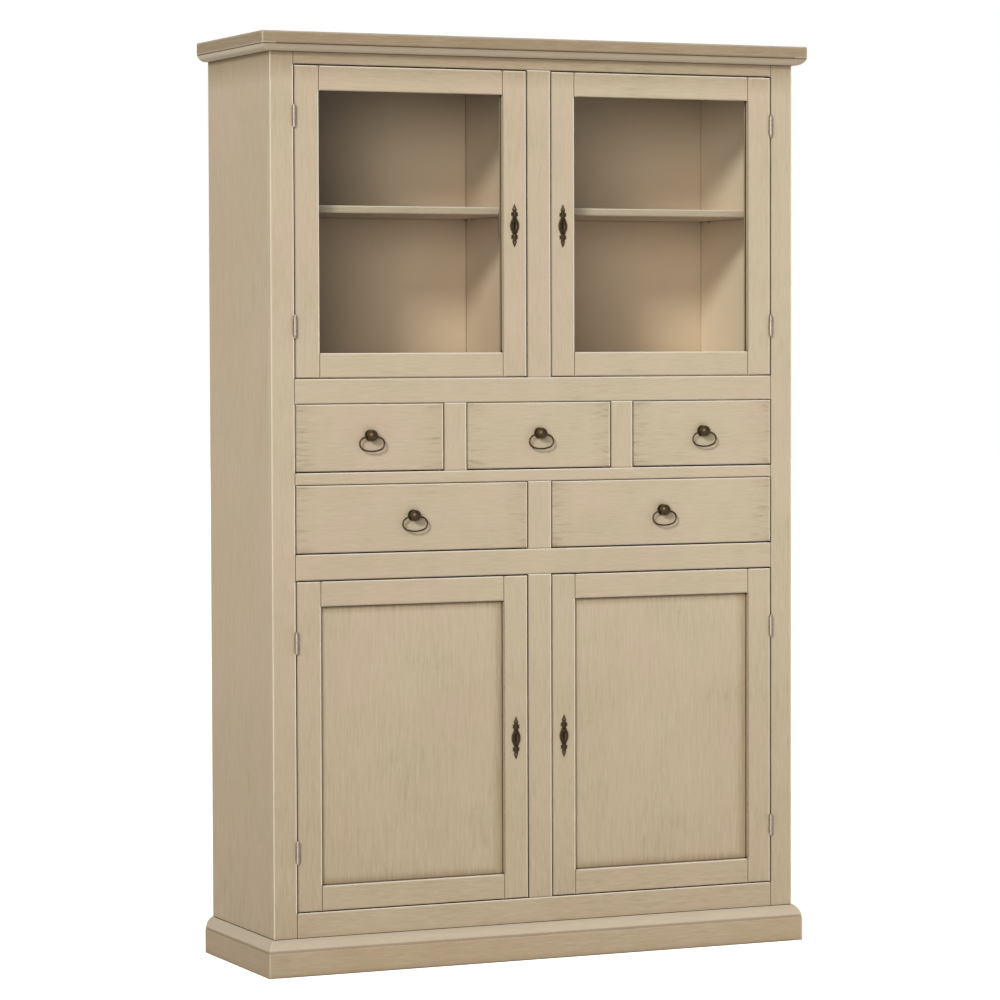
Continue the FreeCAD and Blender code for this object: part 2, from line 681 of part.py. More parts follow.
def make_ring(name, x, z):
    """Drop ring: a straight bar through the ball, two round shoulders and a shallow bow."""
    half, corner, bottom = dim("ring_half").mm, dim("ring_corner").mm, dim("ring_bottom").mm
    rise = math.sqrt((bottom - corner) ** 2 - half ** 2) - corner
    bow_centre = Vector(0, 0, rise)
    shoulder = Vector(half, 0, -corner)
    way = (shoulder - bow_centre).normalize()
    joint = bow_centre + way * bottom
    outer = shoulder + Vector(math.cos(0.3), 0, math.sin(0.3)) * corner
    low = bow_centre + Vector(0, 0, -bottom)
    mirror = lambda point: Vector(-point.x, point.y, point.z)
    start = Vector(half, 0, 0)
    path = Part.Wire([
        Part.LineSegment(mirror(start), start).toShape(),
        Part.Arc(start, outer, joint).toShape(),
        Part.Arc(joint, low, mirror(joint)).toShape(),
        Part.Arc(mirror(joint), mirror(outer), mirror(start)).toShape()])
    centreline = doc.addObject("Part::Feature", f"{name}_ring_line")
    centreline.Shape = path
    section = doc.addObject("Part::Circle", f"{name}_ring_section")
    bind(section, "Radius", dim("ring_wire"))
    section.Placement = FreeCAD.Placement(Vector(0, 0, 0), FreeCAD.Rotation(Vector(0, 1, 0), 90))
    ring = doc.addObject("Part::Sweep", f"{name}_ring")
    ring.Sections = [section]
    ring.Spine = (centreline, [f"Edge{number}" for number in range(1, 5)])
    ring.Solid = True
    place(ring, x, front - dim("ring_out"), z - dim("ring_drop"))
    node(f"{name}_ring", ring)
    doc.recompute()
    wanted = path.Length * math.pi * dim("ring_wire").mm ** 2
    print(f"{name} ring volume {ring.Shape.Volume:.1f} of {wanted:.1f}")


def make_runners():
    """Strips that the drawer sides slide on, guides beside them and stop blocks behind."""
    depth = (behind_frame, back_front)
    top, low = dim("top_drawer_low"), dim("low_drawer_low")
    under, over = (top - dim("runner_thick"), top), (top, top + dim("guide_tall"))
    half_runner, half_guide = dim("divider_runner") / 2, dim("divider_guide") / 2
    guide_inner = post_inner - dim("box_side_play") + dim("end_guide_play")
    strips = []
    for index, side in enumerate((-1, 1)):
        centre = dim("divider_centre") * side
        end = side_inner * side
        strips += [
            board(f"end_runner_{index}", (end, end - dim("end_runner") * side), depth, under),
            board(f"end_guide_{index}", (end, guide_inner * side), depth, over),
            board(f"divider_runner_{index}", (centre - half_runner, centre + half_runner),
                  depth, under),
            board(f"divider_guide_{index}", (centre - half_guide, centre + half_guide),
                  depth, over),
            board(f"low_end_guide_{index}", (end, guide_inner * side), depth,
                  (low, low + dim("guide_tall")))]
    middle = dim("middle_guide") / 2
    strips.append(board("middle_guide", (-middle, middle), depth, (low, low + dim("guide_tall"))))
    stop_near = behind_frame + dim("box_deep") + dim("box_lift")
    for name, (x_low, x_high, row) in DRAWERS.items():
        level = drawer_levels(row)[0]
        for index, edge in enumerate((x_low + 5, x_high - 5 - dim("stop_wide"))):
            strips.append(board(f"{name}_stop_{index}", (edge, edge + dim("stop_wide")),
                                (stop_near, stop_near + dim("stop_long")),
                                (level, level + dim("stop_tall"))))
    node("drawer_runners", strips)


# ---------------------------------------------------------------- the whole cabinet
for side_sign in (-1, 1):
    make_side_panel(side_sign)
make_face_frame()
make_back_and_top()
make_cornice()
make_plinth()
make_decks()
make_partition()
make_shelves()
make_shelf_pins()
make_runners()
make_frame_hinge_leaves()
for is_upper in (True, False):
    for side_sign in (-1, 1):
        make_door(side_sign, is_upper)
for drawer, (x_start, x_end, drawer_row) in DRAWERS.items():
    make_drawer(drawer, x_start, x_end, drawer_row)
doc.recompute()

# ---------------------------------------------------------------- checks and export
for item in doc.Objects:
    if "Invalid" in item.State or "Error" in item.State:
        raise SystemExit(f"{item.Name} failed to recompute: {item.State}")
os.makedirs("parts", exist_ok=True)
whole = FreeCAD.BoundBox()
for label, item in nodes.items():
    shape = item.Shape
    if shape.isNull() or not shape.isValid() or not shape.Solids:
        raise SystemExit(f"{label} has no valid solid")
    shape.exportStep(f"parts/{label}.step")
    whole.add(shape.BoundBox)
    print(f"{label:34s} solids {len(shape.Solids):3d}  volume {shape.Volume / 1000:10.2f} cm3")
print(f"{len(nodes)} nodes, box {whole}")
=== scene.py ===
# %% [markdown]
# # A country pantry cabinet
# The cabinet is a tall dresser: a glazed vitrine over five drawers and a panelled cupboard,
# all in cream paint that was brushed on dry and rubbed back until it looked old.
# The boards, mouldings, doors and drawers come from the engineering model, where every board
# is a solid of its own. This lesson gives them their finish and makes the small castings,
# turnings and screws that a cabinet maker would buy in a box.

# %% Load the cabinet as a fixed frame
import json
import math

import bpy
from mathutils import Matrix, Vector


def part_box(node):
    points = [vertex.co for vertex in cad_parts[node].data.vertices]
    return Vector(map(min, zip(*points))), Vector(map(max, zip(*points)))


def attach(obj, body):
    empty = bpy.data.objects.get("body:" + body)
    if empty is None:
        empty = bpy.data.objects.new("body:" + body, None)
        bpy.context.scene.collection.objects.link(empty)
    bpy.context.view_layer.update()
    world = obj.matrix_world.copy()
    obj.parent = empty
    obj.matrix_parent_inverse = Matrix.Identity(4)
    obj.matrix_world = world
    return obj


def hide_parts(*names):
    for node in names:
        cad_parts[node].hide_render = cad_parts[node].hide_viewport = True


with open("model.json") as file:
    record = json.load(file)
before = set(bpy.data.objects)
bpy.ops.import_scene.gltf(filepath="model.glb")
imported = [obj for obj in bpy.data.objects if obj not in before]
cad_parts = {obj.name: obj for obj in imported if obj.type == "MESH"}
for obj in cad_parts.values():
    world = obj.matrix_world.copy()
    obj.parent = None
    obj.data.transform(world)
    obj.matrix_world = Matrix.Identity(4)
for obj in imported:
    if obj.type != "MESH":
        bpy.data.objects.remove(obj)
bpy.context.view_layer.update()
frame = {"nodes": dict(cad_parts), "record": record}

nodes = frame["nodes"]
bodies = frame["record"]["behaviour"]["bodies"]
MM = 0.001
print(len(nodes), "boards and fittings on", len(bodies), "moving bodies")

# %% [markdown]
# ## Measures that everything else uses
# All places are read off the loaded pieces, so nothing here has to be fitted by eye.
# The front plane is the face of the two posts, and the doors and drawers lie flush with it.

# %% Read the main planes and centres
post_low, post_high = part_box("front_posts")
FRONT = post_low.y
HALF_WIDTH = post_high.x
BODY_TOP = post_high.z
DOORS = [name for name in bodies if name.endswith("_door")]
DRAWERS = [name for name in bodies if name.endswith("_drawer")]


def centre_of(node):
    low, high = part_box(node)
    return (low + high) / 2


print("front plane at", round(FRONT, 4), "doors", len(DOORS), "drawers", len(DRAWERS))

# %% [markdown]
# ## The camera
# The cabinet is seen from its left, a little below the vitrine's shelf, with a long lens from
# far away, so its upright edges stay upright.

# %% Place the camera
CAMERA_PLACE = (-3.488, -7.786, 1.340)
CAMERA_YAW, CAMERA_PITCH, CAMERA_ROLL = 24.05, -2.38, -0.17
LENS = 140.0
bpy.ops.object.select_all(action="DESELECT")
bpy.ops.object.camera_add(
    location=CAMERA_PLACE,
    rotation=(math.radians(90 + CAMERA_PITCH), math.radians(-CAMERA_ROLL),
              math.radians(-CAMERA_YAW)))
camera = bpy.context.object
camera.data.lens = LENS
camera.data.sensor_width = 36
camera.data.clip_end = 200
bpy.context.scene.camera = camera
print("camera at", CAMERA_PLACE)

# %% [markdown]
# ## A short way to write materials
# A class that wraps a shader socket keeps the material recipes readable: sums and products of
# sockets are written as plain Python, and each one adds the Math node that it stands for.


# %% A socket that can be added and multiplied
class Wave:
    """A number that varies over a surface."""

    def __init__(self, finish, socket):
        self.finish = finish
        self.socket = socket

    def math(self, operation, *others):
        return self.finish.add("ShaderNodeMath", {"operation": operation}, self, *others)

    def __add__(self, other):
        return self.math("ADD", other)

    def __sub__(self, other):
        return self.math("SUBTRACT", other)

    def __rsub__(self, other):
        return self.finish.add("ShaderNodeMath", {"operation": "SUBTRACT"}, other, self)

    def __mul__(self, other):
        return self.math("MULTIPLY", other)

    def __truediv__(self, other):
        return self.math("DIVIDE", other)

    def __pow__(self, other):
        return self.math("POWER", other)

    def __abs__(self):
        return self.math("ABSOLUTE")

    def above(self, edge, soft):
        """0 below the edge, 1 above it, blended over a band that is soft wide."""
        return ((self - (edge - soft / 2)) / soft).clamp()

    def clamp(self):
        return self.finish.add("ShaderNodeClamp", {}, self)

    def least(self, other):
        return self.math("MINIMUM", other)

    def most(self, other):
        return self.math("MAXIMUM", other)

    __radd__ = __add__
    __rmul__ = __mul__


print("sums and products:", [name for name in vars(Wave) if name.startswith("__r")])


# %% [markdown]
# Every material starts out empty here, and one method adds any node to it: it sets the node up
# first and then fills or links its sockets. Noises, blends and places on the piece are used so
# often that they have short methods of their own.


# %% A finish that adds its own nodes
class Finish:
    """One material, and the one method that adds its nodes."""

    def __init__(self, name):
        self.material = bpy.data.materials.new(name)
        self.material.use_nodes = True
        self.tree = self.material.node_tree
        self.tree.nodes.clear()
        self.output = self.tree.nodes.new("ShaderNodeOutputMaterial")

    def add(self, kind, settings, *values, out=0, **named):
        """Add a node; values fill its sockets in order, named ones by name."""
        node = self.tree.nodes.new(kind)
        for key, value in settings.items():
            if key == "stops":
                self.set_stops(node.color_ramp, value)
            else:
                setattr(node, key, value)
        sockets = list(zip(node.inputs, values))
        sockets += [(node.inputs[key.replace("_", " ")], value) for key, value in named.items()]
        for socket, value in sockets:
            if isinstance(value, Wave):
                self.tree.links.new(value.socket, socket)
            elif value is not None:
                socket.default_value = value
        return Wave(self, node.outputs[out])

    def set_stops(self, ramp, stops):
        while len(ramp.elements) < len(stops):
            ramp.elements.new(0.5)
        for element, (place, colour) in zip(ramp.elements, stops):
            element.position = place
            element.color = colour

    def place(self):
        return self.add("ShaderNodeTexCoord", {}, out=3)

    def axes(self):
        parts = self.add("ShaderNodeSeparateXYZ", {}, self.place())
        return [Wave(self, socket) for socket in parts.socket.node.outputs]

    def vector(self, x, y, z):
        return self.add("ShaderNodeCombineXYZ", {}, x, y, z)

    def noise(self, vector, scale=1.0, detail=2.0, roughness=0.5, distortion=0.0):
        return self.add("ShaderNodeTexNoise", {}, Vector=vector, Scale=scale, Detail=detail,
                        Roughness=roughness, Distortion=distortion)

    def mix(self, mask, first, second):
        """Blend two colours by a mask from 0 to 1."""
        node = self.tree.nodes.new("ShaderNodeMix")
        node.data_type = "RGBA"
        for socket, value in zip((node.inputs[0], node.inputs[6], node.inputs[7]),
                                 (mask, first, second)):
            if isinstance(value, Wave):
                self.tree.links.new(value.socket, socket)
            else:
                socket.default_value = value
        return Wave(self, node.outputs[2])

    def surface(self, shader):
        self.tree.links.new(shader.socket, self.output.inputs["Surface"])
        return self.material


print("short methods:", [name for name in vars(Finish) if not name.startswith("__")])

# %% [markdown]
# ## The room
# A large pale floor, three broad lights and a dim sky are enough: a key light from the upper
# left, which gives the fittings their soft shadow down and to the right, a flat front light
# that reaches into the vitrine, and a weak one behind for the far side.
# Only the key light may show in the glass, or the two fills would whiten it from some sides.
# The sky is white where the camera looks at it and dimmer for everything it lights, which keeps
# the inside of the vitrine in shade.

# %% Floor, sky and lights
FLOOR_SIZE = 60
FLOOR_GLOW, FLOOR_GREY = 0.84, (0.74, 0.74, 0.74, 1)
WHITE = (1, 1, 1, 1)
KEY, FRONT_LIGHT, BACK_LIGHT, ROOM_LIGHT, SKY_SEEN = 0.675, 0.55, 0.30, 0.23, 1.0
bpy.ops.mesh.primitive_plane_add(size=FLOOR_SIZE, location=(0, 0, 0))
floor = bpy.context.object
floor.name = "studio_floor"
floor_finish = Finish("pale_floor")
floor_glow = floor_finish.add("ShaderNodeLightPath", {}) * FLOOR_GLOW
floor.data.materials.append(floor_finish.surface(floor_finish.add(
    "ShaderNodeAddShader", {},
    floor_finish.add("ShaderNodeBsdfDiffuse", {}, FLOOR_GREY),
    floor_finish.add("ShaderNodeEmission", {}, WHITE, floor_glow))))

world = bpy.data.worlds.new("pale_room")
bpy.context.scene.world = world
world.use_nodes = True
sky = world.node_tree.nodes["Background"]
path = world.node_tree.nodes.new("ShaderNodeLightPath")
strength = world.node_tree.nodes.new("ShaderNodeMapRange")
strength.inputs["To Min"].default_value = ROOM_LIGHT
strength.inputs["To Max"].default_value = SKY_SEEN
world.node_tree.links.new(path.outputs["Is Camera Ray"], strength.inputs["Value"])
world.node_tree.links.new(strength.outputs["Result"], sky.inputs["Strength"])
sky.inputs["Color"].default_value = WHITE


def soft_sun(name, towards, softness, power):
    """A broad distant light that shines from a direction; softness is its width in degrees."""
    turn = Vector(towards).to_track_quat("Z", "Y").to_euler()
    bpy.ops.object.light_add(type="SUN", location=Vector(towards), rotation=turn)
    lamp = bpy.context.object
    lamp.name = name
    lamp.data.angle = math.radians(softness)
    lamp.data.energy = power * math.pi
    return lamp


soft_sun("key_light", (-7.1, -7.0, 4.6), 11, KEY)
fills = (soft_sun("front_light", (-4.9, -8.6, 0.4), 30, FRONT_LIGHT),
         soft_sun("back_light", (7.0, 5.0, 3.5), 60, BACK_LIGHT))
for lamp in fills:
    lamp.visible_glossy = False
bpy.context.scene.view_settings.view_transform = "Standard"
print("lights", 1 + len(fills))

# %% [markdown]
# ## Antique cream paint
# The real finish is a warm cream brushed nearly dry over a brown ground. It shows three things:
# soft clouds of pinker and yellower paint, fine streaks along each board where the bristles
# dragged, and a brown glaze. Over these the recipe lays painted shade in the corners, gaps and
# recesses, and a painted highlight over a little rubbed wear on the arrises.
# The streaks follow the grain, so the recipe takes the direction of the board.

# %% Colours of the paint
CREAM = (0.548, 0.452, 0.314, 1)
ROSY = (0.553, 0.432, 0.312, 1)
OLIVE = (0.512, 0.431, 0.290, 1)
# the brown ground; also the colour of painted shade in gaps, creases and on arrises facing down
# or left, and of dark joints
DARK_GROUND_AND_SHADE = (0.040, 0.024, 0.011, 1)
# glaze colour, also laid on as painted shade low down, at the head, to the left and in corners
GLAZE_AND_SHADE = (0.300, 0.222, 0.130, 1)
# pale rubbed paint; also the colour of painted highlights on arrises and on the plinth's bead
PALE_WEAR_AND_HIGHLIGHT = (0.930, 0.860, 0.720, 1)
INSIDE = (0.735, 0.573, 0.405, 1)
# the two colours below are painted shade and painted light inside the vitrine
INSIDE_SHADE = (0.175, 0.104, 0.055, 1)
INSIDE_LIGHT = (0.840, 0.695, 0.505, 1)
# painted light for the lower part of the cornice, which faces down, and for its sides
CORNICE_PAINTED_LIGHT = (0.860, 0.745, 0.560, 1)
TOP_TONE = (0.480, 0.385, 0.275, 1)
CORNICE_TONE = (0.440, 0.342, 0.218, 1)
PLINTH_TONE = (0.470, 0.362, 0.232, 1)
SIDE_TONE = (0.525, 0.410, 0.275, 1)
print("cream", CREAM[:3], "over a ground of", DARK_GROUND_AND_SHADE[:3])

# %% [markdown]
# The recipe needs to know where the boards of a frame meet, because the grain turns there, the
# paint cracks there and the glaze gathers there. The places are read off the loaded boards, and
# only the depths of the grooves, the gap beside a door and the width of a hair are given here.

# %% Places that the paint refers to
GLASS_REBATE, TONGUE, DOOR_GAP = 8.5 * MM, 8 * MM, 2 * MM
HAIR = 0.4 * MM
glass_low, glass_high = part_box("upper_right_door_glass")
panel_low, panel_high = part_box("lower_right_door_panel")
shelf_low, shelf_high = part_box("shelves")
STILE_INNER = (glass_low.x + GLASS_REBATE, glass_high.x - GLASS_REBATE)
OPENINGS = ((glass_low.z + GLASS_REBATE, glass_high.z - GLASS_REBATE),
            (panel_low.z + TONGUE, panel_high.z - TONGUE))
POST_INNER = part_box("upper_right_door_frame")[1].x + DOOR_GAP
POST_BACK = post_high.y
INSIDE_HALF = HALF_WIDTH - 10 * MM
INSIDE_FRONT = shelf_low.y + 1 * MM
INSIDE_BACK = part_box("back_panel")[0].y + 1 * MM
CORNICE_LINE, CORNICE_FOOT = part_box("top_board")[0].z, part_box("cornice_moulding")[0].z
PLINTH_LINE, QUIRK_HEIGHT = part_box("plinth")[1].z, 55 * MM
ROWS = [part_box(f"{name}_frame" if name in DOORS else f"{name}_front")
        for name in (DOORS[0], DOORS[-1], DRAWERS[0], DRAWERS[-1])]
print("stiles end at", [round(place, 4) for place in STILE_INNER])

# %% [markdown]
# Brush marks and wood fibres run along a board, so each kind of board has its own axes: one
# along the grain and two across it. In a door frame the grain turns from the upright stiles to
# the level rails where they meet, and on the mouldings it turns at the mitre.


# %% The way of the grain
def blend(mask, first, second):
    return first * (1 - mask) + second * mask


def between(value, low, high):
    """1 where the value lies between two places, with hair-thin blends at both."""
    return value.above(low, HAIR) * (1 - value.above(high, HAIR))


def grain_space(finish, grain):
    """Coordinates that run slowly along the grain, in metres, and two across it."""
    x, y, z = finish.axes()
    if grain == "upright":
        return z, x, y
    if grain == "level":
        return x, z, y
    if grain == "door":
        side = abs(x)
        rail = between(side, *STILE_INNER)
        return blend(rail, z, x), blend(rail, x, z), y
    corner = (abs(x) - HALF_WIDTH + y - FRONT).above(0, HAIR)
    return blend(corner, x, y), z, blend(corner, y, x)


print("grain turns", round(HALF_WIDTH - STILE_INNER[1], 4), "from the side of the cabinet")

# %% [markdown]
# Paint is a finish that remembers its colour so far. Every coat covers it where a mask says so,
# and the masks come from the brush marks, which are noises drawn out along the grain.


# %% A paint that takes one coat after another
NODE_SAMPLES = 6
# the first reach is how far the occlusion looks for corners and gaps that get painted shade
SHADE_REACH, GAP_REACH, ARRIS_REACH = 16 * MM, 5 * MM, 5.2 * MM
# waves a metre along the grain and across it, then the noise's detail and roughness
STREAKS = (6.0, 150.0, 4.0, 0.6)
BRISTLES = (26.0, 620.0, 3.0, 0.65)
STROKES = (17.0, 120.0, 4.0, 0.7)


def openness(finish, reach):
    """1 on an open face and less in a corner or a gap; reach is how far it looks around."""
    return finish.add("ShaderNodeAmbientOcclusion", {"samples": NODE_SAMPLES}, out=1,
                      Distance=reach)


def drawn_out(finish, axes, along, across, detail, roughness):
    """A noise of long marks: how many waves a metre has along the grain and across it."""
    first, second, third = axes
    return finish.noise(finish.vector(first * along, second * across, third * across),
                        1.0, detail, roughness)


class Paint(Finish):
    """The antique paint of one kind of board."""

    def __init__(self, name, grain, kind, tone):
        super().__init__(name)
        self.grain, self.kind, self.colour = grain, kind, tone
        self.x, self.y, self.z = self.axes()
        self.clouds = self.noise(self.place(), 3.6, 3.0, 0.55)
        self.patches = self.noise(self.place(), 6.0, 3.0, 0.6)
        axes = grain_space(self, grain)
        self.streaks = drawn_out(self, axes, *STREAKS)
        self.bristles = drawn_out(self, axes, *BRISTLES)
        self.strokes = drawn_out(self, axes, *STROKES).above(0.60, 0.16)
        self.near = openness(self, SHADE_REACH)
        self.normal = self.add("ShaderNodeNewGeometry", {}, out=3)

    def coat(self, mask, colour):
        """Lay a colour over the ones before it, where the mask is 1."""
        self.colour = self.mix(mask, self.colour, colour)

    def from_edges(self, low, high):
        """How far a point lies from the nearest upright and the nearest level edge."""
        sideways = (high.x - low.x) / 2 - abs(self.x - (low.x + high.x) / 2)
        upwards = (high.z - low.z) / 2 - abs(self.z - (low.z + high.z) / 2)
        return sideways, upwards

    def dot(self, first, second):
        return self.add("ShaderNodeVectorMath", {"operation": "DOT_PRODUCT"}, first, second,
                        out=1)

    def turned_side(self):
        """1 on the faces that look to the left or to the right."""
        return abs(self.add("ShaderNodeSeparateXYZ", {}, self.normal)).above(0.70, 0.20)


print("haze reaches", SHADE_REACH, "and gaps", GAP_REACH)

# %% [markdown]
# Painted shade varies by height: the plinth and the foot of the body are the darkest, and the top
# of the body and the cornice are darker than the middle; the left end is a little darker than the
# right. On a drawer front glaze lies at the two ends, where the rag skipped, and a sunk panel has
# painted shade along its four edges, mixed with glaze that the rag couldn't reach.

# %% Where the glaze and the painted shade lie
# how strong the painted shade is at the foot, in the lower half, at the head and to the left
FOOT_SHADE, LOWER_SHADE, HEAD_SHADE, LEFT_SHADE = 0.26, 0.18, 0.80, 0.07
PANEL_RIGHT, PANEL_LEFT, PANEL_TOP, PANEL_FOOT = 30 * MM, 12 * MM, 20 * MM, 26 * MM
DRAWER_END, DRAWER_EDGE = 55 * MM, 20 * MM


# painted shade: darker towards the foot and under the cornice at the head
def shade_by_height(z):
    foot = 1 - z.above(0.30, 0.60)
    lower_half = 1 - z.above(0.80, 0.50)
    head = z.above(BODY_TOP - 45 * MM, 70 * MM)
    return foot * FOOT_SHADE + lower_half * LOWER_SHADE + head * HEAD_SHADE


# painted shade along the edges of a sunk panel, deepest under the top rail and at the right,
# mixed with glaze
def glaze_and_shade_on_panel(work, low, high):
    ragged = work.streaks.above(0.5, 0.5) * 0.6
    right = 1 - ((high.x - TONGUE - work.x) / PANEL_RIGHT).clamp()
    left = 1 - ((work.x - low.x - TONGUE) / PANEL_LEFT).clamp()
    top = 1 - ((high.z - TONGUE - work.z) / PANEL_TOP).clamp()
    foot = 1 - ((work.z - low.z - TONGUE) / PANEL_FOOT).clamp()
    return ((right ** 1.5).most(foot ** 2) * (0.35 + ragged)
            + left ** 2 * 0.15 + top ** 1.5 * (0.50 + ragged))


def glaze_on_drawer(work, low, high):
    sideways, upwards = work.from_edges(low, high)
    near_end = 1 - (sideways / DRAWER_END).clamp()
    near_edge = 1 - (upwards / DRAWER_EDGE).clamp()
    return near_end * (work.strokes * 0.55 + 0.10) + near_edge * near_end * 0.30


def brush_glaze_and_shade(work, board):
    """Clouds of cream and glaze, with painted shade by height, to the left, on panels and in
    corners.
    """
    work.coat(work.clouds.above(0.54, 0.20) * 0.8, ROSY)
    work.coat(work.patches.above(0.56, 0.22) * 0.75, OLIVE)
    drag = work.streaks.above(0.62, 0.30) * 0.09 + work.bristles.above(0.56, 0.22) * 0.11
    smudge = work.strokes * work.patches.above(0.55, 0.18) * 0.24
    # painted shade: the left end a little darker than the right
    leftward = (0.5 - work.x / (2 * HALF_WIDTH)) * LEFT_SHADE
    glaze_and_shade = drag + smudge + (shade_by_height(work.z) + leftward) * (0.75 + work.clouds * 0.5)
    if work.kind == "panel":
        glaze_and_shade = glaze_and_shade + glaze_and_shade_on_panel(work, *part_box(board))
    if work.kind == "drawer":
        glaze_and_shade = glaze_and_shade + glaze_on_drawer(work, *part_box(board))
    work.coat(glaze_and_shade.clamp(), GLAZE_AND_SHADE)
    work.coat((1 - work.bristles.above(0.42, 0.20)) * 0.07, PALE_WEAR_AND_HIGHLIGHT)
    # painted shade in corners and recesses that the occlusion finds, streaked like glaze
    corner_shade = (1 - work.near).above(0.30, 0.50) * (0.45 + work.streaks * 0.5)
    work.coat(corner_shade.clamp(), GLAZE_AND_SHADE)


print("glaze on the foot, the lower half and the head", FOOT_SHADE, LOWER_SHADE, HEAD_SHADE)

# %% [markdown]
# Where two boards meet flush the paint has cracked into a hairline, and the gaps round the doors
# and drawers are painted dark as shade. An arris that looks up or to the right gets a painted
# highlight over a little rubbed wear, and one that looks down or to the left gets painted shade.
# The Bevel node finds the arrises and the Ambient Occlusion node finds the gaps, so neither has
# to be drawn by hand.

# %% Hairlines, painted shade in gaps, and painted highlights and shade on arrises
# CREASE is how far the painted shade round a sunk panel reaches
SEAM_HALF, BESIDE_SEAM, CREASE = 0.6 * MM, 4 * MM, 3.4 * MM
# arrises that face this way get the painted highlight, those facing away get painted shade
HIGHLIGHT_DIRECTION = (0.80, 0.0, 0.60)


def hairlines(work, half_width):
    """The joints of a door frame, and of the posts with the rails between them."""
    side = abs(work.x)
    if work.grain == "door":
        open_here = between(work.z, *OPENINGS[0]) + between(work.z, *OPENINGS[1])
        lines = [between(side, place - half_width, place + half_width)
                 for place in STILE_INNER]
        return (lines[0] + lines[1]) * (1 - open_here)
    if work.kind == "front":
        beside_row = sum(between(work.z, low.z - MM, high.z + MM) for low, high in ROWS)
        return between(side, POST_INNER - half_width, POST_INNER + half_width) * (
            1 - beside_row)
    return 0.0


def shade_gaps_and_seams(work, board):
    """Painted shade in gaps and round a panel, dark hairline joints; returns the gap and hairline
    mask.
    """
    tight = openness(work, GAP_REACH)
    # painted shade in the gaps round doors and drawers and in deep corners, found by occlusion
    gap = (1 - work.near).above(0.72, 0.24).most((1 - tight).above(0.44, 0.20))
    gap_shade_and_seams = gap.most(hairlines(work, SEAM_HALF) * 0.85)
    if work.kind == "panel":
        # painted shade in the crease where a sunk panel meets its frame
        sideways, upwards = work.from_edges(*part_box(board))
        crease = 1 - ((sideways.least(upwards) - TONGUE) / CREASE).clamp()
        work.coat(crease * 0.72, DARK_GROUND_AND_SHADE)
    work.coat(gap_shade_and_seams, DARK_GROUND_AND_SHADE)
    return gap_shade_and_seams


def rub_arrises(work, gap_shade_and_seams, rub):
    """Painted highlight over a little wear on arrises facing up or right, painted shade on those
    facing down or left.
    """
    rounded = work.add("ShaderNodeBevel", {"samples": NODE_SAMPLES}, ARRIS_REACH)
    facing_up_right = work.dot(rounded, HIGHLIGHT_DIRECTION)
    corner = abs(work.x).above(HALF_WIDTH - 5 * MM, 2 * MM)
    arris = (1 - work.dot(work.normal, rounded)).above(0.016, 0.022)
    arris = arris * (1 - gap_shade_and_seams) * (1 - hairlines(work, BESIDE_SEAM))
    if work.kind in ("front", "carcass"):
        arris = arris * (1 - between(work.y, POST_BACK - 4 * MM, POST_BACK + 4 * MM))
    # painted shade on the arrises that look down or to the left
    work.coat((facing_up_right * -2.6).clamp() * arris * (1 - corner) * 0.8, DARK_GROUND_AND_SHADE)
    # painted highlight on the arrises that look up or to the right, over a little wear; paler
    # outer corners
    wear_and_highlight = (facing_up_right * 2.6 + 0.10).clamp().most(corner * 0.5)
    work.coat((arris * wear_and_highlight * rub).clamp() * 0.90, PALE_WEAR_AND_HIGHLIGHT)


print("rows of doors and drawers", len(ROWS))

# %% [markdown]
# Some boards have a look of their own. The plinth has painted shade on its sides and in the
# quirk under its bead, and a painted highlight on the bead. The cornice has painted light low
# down and on its sides, and a dark joint line with painted shadow under the top board. Inside the
# vitrine the paint is warmer, with painted shade on the left, at the top and low down, and
# painted light on the far wall that the light reaches.


# %% Looks of the plinth, the cornice and the inside
def finish_plinth(work):
    # painted shade on the sides of the plinth
    work.coat(work.turned_side() * 0.36, GLAZE_AND_SHADE)
    # painted shade in the quirk under the bead, streaked like glaze
    quirk_shade = 1 - abs(work.z - QUIRK_HEIGHT).above(2.4 * MM, 2.6 * MM)
    work.coat(quirk_shade * (0.30 + work.streaks * 0.5), GLAZE_AND_SHADE)
    # painted highlight along the bead
    bead_highlight = work.z.above(QUIRK_HEIGHT + 2 * MM, 3 * MM) * (0.16 + work.streaks * 0.14)
    work.coat(bead_highlight, PALE_WEAR_AND_HIGHLIGHT)


def finish_cornice(work):
    # painted light low down on the cornice, where it faces down, and on its sides
    lower = 1 - (work.z - CORNICE_FOOT) / (CORNICE_LINE - CORNICE_FOOT)
    work.coat(lower.clamp() * 0.65 + work.turned_side() * 0.30, CORNICE_PAINTED_LIGHT)
    # dark joint line under the top board, with painted shadow
    work.coat((work.z - CORNICE_LINE).above(-1.3 * MM, HAIR) * 0.85, DARK_GROUND_AND_SHADE)


def line_the_foot(work):
    """The dark line where the body stands on the plinth."""
    foot_line = 1 - (work.z - PLINTH_LINE).above(1.3 * MM, HAIR)
    work.coat(foot_line * 0.8, DARK_GROUND_AND_SHADE)


def finish_inside(work):
    inside = ((INSIDE_HALF - abs(work.x)).above(0, HAIR)
              * between(work.y, INSIDE_FRONT, INSIDE_BACK))
    high_up = work.z.above(shelf_high.z, 0.02)
    # painted shade: dark on the left of the vitrine, more so above the shelf
    shaded = (1 - (work.x + POST_INNER).above(0.30, 0.26)) * (0.45 + high_up * 0.35)
    # more painted shade low down in the vitrine and above the shelf
    low_down = (1 - (work.z - glass_low.z) / 0.22).clamp()
    shaded = shaded.most(low_down * 0.25).most(high_up * 0.16)
    work.coat(inside * 0.85, work.mix(shaded, INSIDE, INSIDE_SHADE))
    # painted light on the far right wall that the light reaches
    lit_far_wall = inside * work.x.above(POST_INNER + 14 * MM, MM)
    work.coat(lit_far_wall * 0.85, INSIDE_LIGHT)


